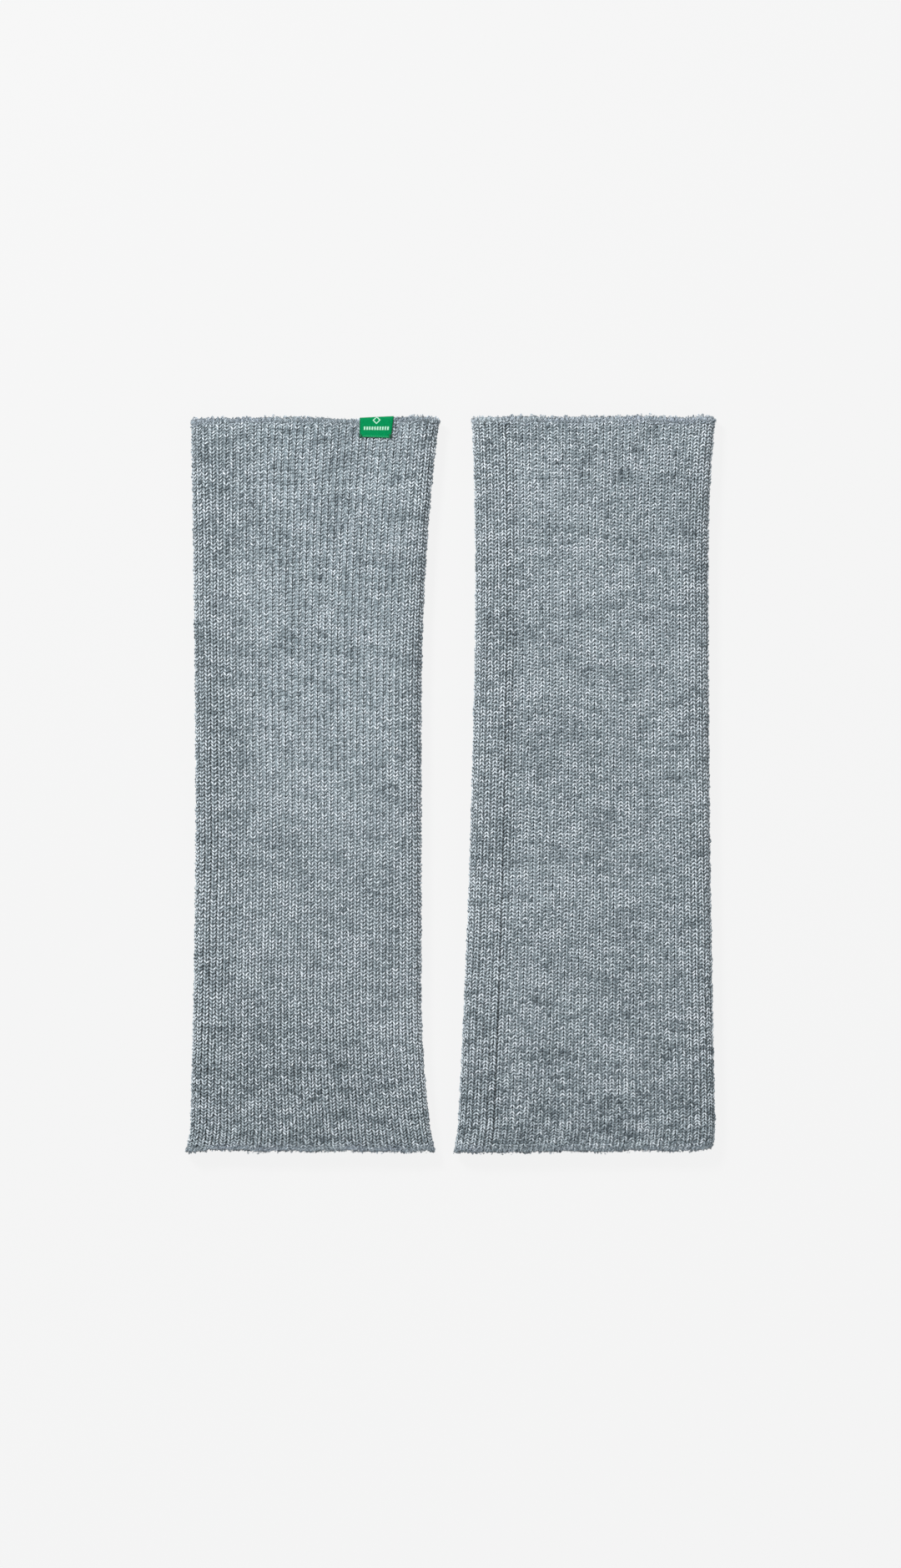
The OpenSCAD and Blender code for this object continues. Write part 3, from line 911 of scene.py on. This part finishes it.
def ground_look():
    """The knit behind the stitches: a lower tone than the yarn as painted shade, darkened further by painted
    shade where it sinks, with the backs of the purl loops showing in the grooves.
    """
    t = Tree("knit_ground")
    around, along = t.yarn_uv()
    groove = t.maths("ABSOLUTE", t.maths("COSINE", t.maths("MULTIPLY", around, math.pi)))
    purl = t.maths("MULTIPLY", t.wave(along), t.maths("POWER", groove, 6.0))
    fibre = t.noise(0.3, 3, (1.5, 1, 1))
    # painted shade: the ground's tone sits well below the yarn's
    value = t.maths("MULTIPLY_ADD", t.attribute("tone"), 0.1, 0.42)
    value = t.maths("MULTIPLY_ADD", purl, 0.13, value)
    value = t.maths("MULTIPLY_ADD", fibre, 0.4, value)
    # painted shade from the crest value set on the fabric
    colour = t.shaded(t.ramp(value, WOOL), t.maths("MULTIPLY_ADD", t.attribute("crest"), 1.1, 0.06))
    t.bump(t.maths("MULTIPLY_ADD", purl, 0.6, fibre), 0.7, 0.2)
    return t.finish(colour, t.maths("MULTIPLY_ADD", fibre, 0.2, 0.88), 0.1, 0.15)


LABEL_WIDE = 14.8
DASH_ROW = (1.8, 13.35, 3.25, 4.75)            # left, right, foot and top of the woven row of dashes
DASH_EVERY = 1.18
LOZENGE = (7.45, 7.6)                          # the middle of the woven lozenge
THREADS = (0.22, 0.3)                          # spacing of the label's weft and warp


def label_look():
    """Woven green taffeta with painted shade along its two side edges, a plain lozenge over a row of dashes,
    and a hem line.
    """
    t = Tree("woven_label")
    across, up = t.yarn_uv()
    weave = t.maths("MULTIPLY", t.wave(up, THREADS[0]), t.wave(across, THREADS[1]))
    fibre = t.noise(0.25, 3, (2, 1, 1))

    def band(value, low, high):
        return t.maths("MULTIPLY", t.maths("GREATER_THAN", value, low), t.maths("LESS_THAN", value, high))

    left, right, foot, top = DASH_ROW
    beat = t.wave(t.maths("SUBTRACT", across, left + 0.15), DASH_EVERY)
    dash = t.maths("MULTIPLY", band(across, left, right), t.maths("GREATER_THAN", beat, -0.35))
    dashes = t.maths("MULTIPLY", dash, band(up, foot, top))
    aside = t.maths("ABSOLUTE", t.maths("SUBTRACT", across, LOZENGE[0]))
    from_middle = t.maths("ADD", aside, t.maths("ABSOLUTE", t.maths("SUBTRACT", up, LOZENGE[1])))
    pale = t.maths("MAXIMUM", dashes, band(from_middle, 1.15, 1.75))
    hem = t.maths("MULTIPLY", band(up, 0.35, 0.65), t.maths("GREATER_THAN", t.wave(across, 0.9), -0.5))
    tone = t.maths("MULTIPLY_ADD", weave, 0.16, t.maths("MULTIPLY_ADD", fibre, 0.7, 0.5))
    green = t.ramp(tone, [(0, srgb(0, 80, 44)), (0.5, srgb(0, 122, 70)), (1, srgb(8, 148, 92))])
    # painted shade: the green darkens towards the label's two side edges
    edge = t.maths("MINIMUM", across, t.maths("SUBTRACT", LABEL_WIDE, across))
    inner = t.maths("MINIMUM", t.maths("MULTIPLY_ADD", edge, 0.7, 0.45), 1.0)
    green = t.mixed(t.maths("SUBTRACT", 1.0, inner), green, (*srgb(0, 66, 36), 1))
    green = t.mixed(t.maths("MULTIPLY", pale, 0.85), green, (*srgb(178, 214, 196), 1))
    green = t.mixed(t.maths("MULTIPLY", hem, 0.6), green, (*srgb(70, 165, 120), 1))
    t.bump(t.maths("MULTIPLY_ADD", pale, 0.8, weave), 0.6, 0.06)
    return t.finish(green, t.maths("MULTIPLY_ADD", fibre, 0.2, 0.7), 0.01, 0.04, (0.3, 1, 0.6))


def tack_look():
    """Dark green sewing thread with a visible twist."""
    t = Tree("tack_thread")
    around, along = t.yarn_uv()
    twist = t.wave(t.maths("ADD", around, t.maths("MULTIPLY", along, 2.0)))
    fibre = t.noise(0.15, 2)
    value = t.maths("MULTIPLY_ADD", twist, 0.25, t.maths("ADD", fibre, 0.5))
    colour = t.ramp(value, [(0, srgb(0, 38, 24)), (1, srgb(4, 92, 58))])
    t.bump(twist, 0.5, 0.05)
    return t.finish(colour, t.maths("MULTIPLY_ADD", fibre, 0.2, 0.5), 0.1)


FLOOR_GLOW = 0.862


def floor_look():
    """A pale studio floor that gives back a little light of its own, so shadows on it stay faint."""
    t = Tree("pale_floor")
    t.shader.inputs["Base Color"].default_value = (0.035, 0.035, 0.035, 1)
    t.shader.inputs["Roughness"].default_value = 1.0
    t.shader.inputs["Specular IOR Level"].default_value = 0.0
    t.shader.inputs["Emission Color"].default_value = (1, 1, 1, 1)
    t.shader.inputs["Emission Strength"].default_value = FLOOR_GLOW
    return t.material


# ---------------------------------------------------------------- the studio

GROUND_SEEN = 0.714                            # metres of ground from the picture's top to its foot
CAMERA_UP = 4.0
SENSOR = 36.0
LAMPS = {                                      # place, size and power: a soft key from the upper left
    "key": ((-0.8, 1.08, 1.2), 0.45, 40),
    "fill_right": ((1.7, -0.4, 1.6), 1.4, 10),
    "fill_low": ((-0.2, -1.9, 1.5), 1.4, 8),
}


def camera():
    """Straight above, with a lens long enough to see the gloves without perspective."""
    data = bpy.data.cameras.new("camera")
    data.sensor_width = SENSOR
    data.lens = SENSOR / 2 * CAMERA_UP / (GROUND_SEEN / 2)
    data.clip_end = 50
    obj = bpy.data.objects.new("camera", data)
    obj.location = (0, 0, CAMERA_UP)
    bpy.context.scene.collection.objects.link(obj)
    bpy.context.scene.camera = obj


def lamp(name, place, size, power):
    """A round soft light that faces the gloves."""
    data = bpy.data.lights.new(name, "AREA")
    data.shape = "DISK"
    data.size = size
    data.energy = power
    obj = bpy.data.objects.new(name, data)
    obj.location = place
    obj.rotation_mode = "QUATERNION"
    obj.rotation_quaternion = Vector(place).to_track_quat("Z", "Y")
    bpy.context.scene.collection.objects.link(obj)


def studio():
    """A plain floor, a soft key light from the upper left and two weak fills."""
    size = 20.0
    mesh = bpy.data.meshes.new("floor")
    corners = [(-size, -size), (size, -size), (size, size), (-size, size)]
    mesh.from_pydata([(x, y, -0.0003) for x, y in corners], [], [(0, 1, 2, 3)])
    mesh.materials.append(floor_look())
    obj = bpy.data.objects.new("floor", mesh)
    bpy.context.scene.collection.objects.link(obj)
    for name, lit in LAMPS.items():
        lamp(name, *lit)
    world = bpy.data.worlds.new("studio")
    world.use_nodes = True
    world.node_tree.nodes["Background"].inputs["Color"].default_value = (0.97, 0.98, 1.0, 1)
    world.node_tree.nodes["Background"].inputs["Strength"].default_value = 0.47
    bpy.context.scene.world = world
    bpy.context.scene.view_settings.view_transform = "Standard"


# ---------------------------------------------------------------- the pair

LOOK = {
    "yarn": yarn_look("rib_knit_yarn", 0.65, 0.34, 0.28, srgb(250, 248, 250), 2.2),
    "thread": yarn_look("overlock_yarn", 0.6, 0.42, 0.2, srgb(242, 241, 252), 1.2),
    "ground": ground_look(),
    "label": label_look(),
    "tack": tack_look(),
}


def knit(side):
    """One glove: its fabric, its stitches, its seam and its two overlocked ends."""
    glove = make_glove(side)
    ribs, courses = glove["ribs"], glove["courses"]
    quarter = ribs // 4 + 2
    upper = np.arange(-quarter - 1, quarter + 1)
    lower = np.arange(quarter + 1, ribs - quarter - 1)
    rows = np.arange(courses)
    mouths = np.concatenate([rows[:8], rows[-8:]])
    base = covered(fabric(glove), f"{side}_rib_tube")
    on_it = stitches(glove, "upper_stitches", FINE_LEG, upper, rows)
    on_it += stitches(glove, "under_stitches", PLAIN_LEG, lower, rows)
    on_it += purls(glove, "upper_purls", np.arange(-quarter - 1, quarter + 2), rows)
    on_it += stitches(glove, "inner_stitches", PLAIN_LEG, np.arange(ribs), mouths, inside=True)
    on_it += seam(glove)
    on_it += overlock(glove, 1)
    on_it += overlock(glove, -1)
    on_it.append(fuzz(glove))


def main():
    camera()
    studio()
    knit("left")
    knit("right")
    label()
    tacks()
    bpy.context.view_layer.update()


main()
